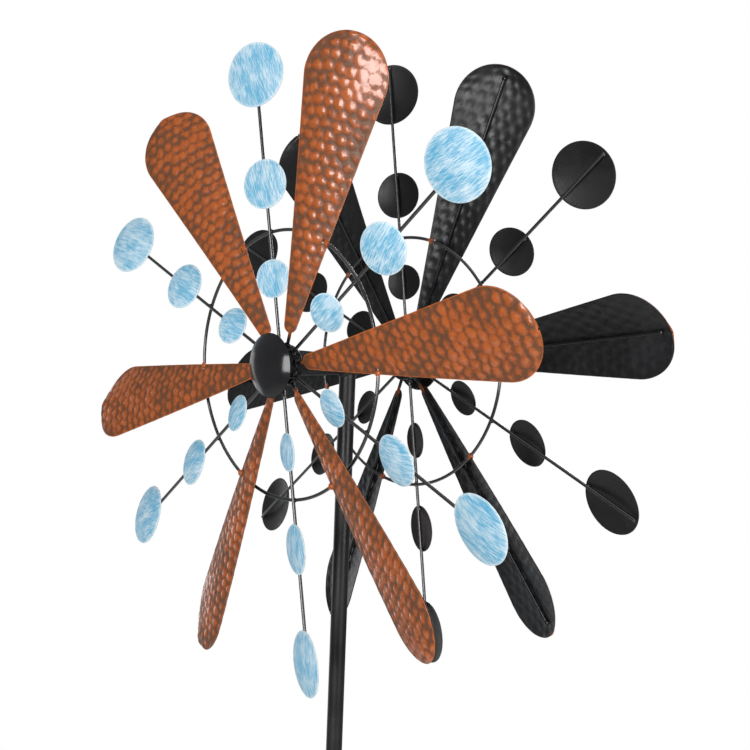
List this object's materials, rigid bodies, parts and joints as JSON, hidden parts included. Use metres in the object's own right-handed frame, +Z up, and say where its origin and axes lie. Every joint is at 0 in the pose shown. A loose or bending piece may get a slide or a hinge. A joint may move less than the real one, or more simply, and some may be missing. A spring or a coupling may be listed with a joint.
{
  "type": "wind spinner",
  "caption": "Garden wind spinner: two free-turning rotors of hammered teardrop blades and dished discs on a horizontal axle, on a plug-together pole with a ground fork.",
  "frame": {"origin": "on the pole's axis at the underside of the ground fork's step bar, at ground level", "axes": "+Z up along the pole; the front rotor faces -Y and the rear rotor faces +Y"},
  "size_m": [0.6084, 0.2168, 1.8993],
  "materials": {
    "black_enamel": "satin",
    "copper_patina": "hammered, glossy",
    "brushed_blue": "brushed, lacquered",
    "zinc_steel": "zinc plated"
  },
  "bodies": {
    "stand": {"pole_upper": "black_enamel", "pole_middle": "black_enamel", "pole_lower": "black_enamel", "ground_fork": "black_enamel", "pole_screw_upper": "zinc_steel", "pole_screw_lower": "zinc_steel", "pole_screw_fork": "zinc_steel", "axle_tube": "black_enamel", "axle_shaft": "zinc_steel", "front_end_plug": "zinc_steel", "front_lock_nut": "zinc_steel", "rear_end_plug": "zinc_steel", "rear_lock_nut": "zinc_steel"},
    "front_rotor": {"front_hub": "black_enamel", "front_bearing_inner": "zinc_steel", "front_bearing_outer": "zinc_steel", "front_cap": "black_enamel", "front_ring": "black_enamel", "front_disc_arm_1": "brushed_blue", "front_blade_wire_1": "black_enamel", "front_blade_1": "copper_patina", "front_disc_arm_2": "brushed_blue", "front_blade_wire_2": "black_enamel", "front_blade_2": "copper_patina", "front_disc_arm_3": "brushed_blue", "front_blade_wire_3": "black_enamel", "front_blade_3": "copper_patina", "front_disc_arm_4": "brushed_blue", "front_blade_wire_4": "black_enamel", "front_blade_4": "copper_patina", "front_disc_arm_5": "brushed_blue", "front_blade_wire_5": "black_enamel", "front_blade_5": "copper_patina", "front_disc_arm_6": "brushed_blue", "front_blade_wire_6": "black_enamel", "front_blade_6": "copper_patina"},
    "rear_rotor": {"rear_hub": "black_enamel", "rear_bearing_inner": "zinc_steel", "rear_bearing_outer": "zinc_steel", "rear_cap": "black_enamel", "rear_ring": "black_enamel", "rear_disc_arm_1": "brushed_blue", "rear_blade_wire_1": "black_enamel", "rear_blade_1": "copper_patina", "rear_disc_arm_2": "brushed_blue", "rear_blade_wire_2": "black_enamel", "rear_blade_2": "copper_patina", "rear_disc_arm_3": "brushed_blue", "rear_blade_wire_3": "black_enamel", "rear_blade_3": "copper_patina", "rear_disc_arm_4": "brushed_blue", "rear_blade_wire_4": "black_enamel", "rear_blade_4": "copper_patina", "rear_disc_arm_5": "brushed_blue", "rear_blade_wire_5": "black_enamel", "rear_blade_5": "copper_patina", "rear_disc_arm_6": "brushed_blue", "rear_blade_wire_6": "black_enamel", "rear_blade_6": "copper_patina"}
  },
  "joints": [
    {"name": "front_rotor_spin", "type": "hinge", "parent": "stand", "child": "front_rotor", "pos_m": [0, -0.084, 1.357], "axis": [0, -1, 0], "continuous": true},
    {"name": "rear_rotor_spin", "type": "hinge", "parent": "stand", "child": "rear_rotor", "pos_m": [0, 0.084, 1.357], "axis": [0, 1, 0], "continuous": true}
  ]
}
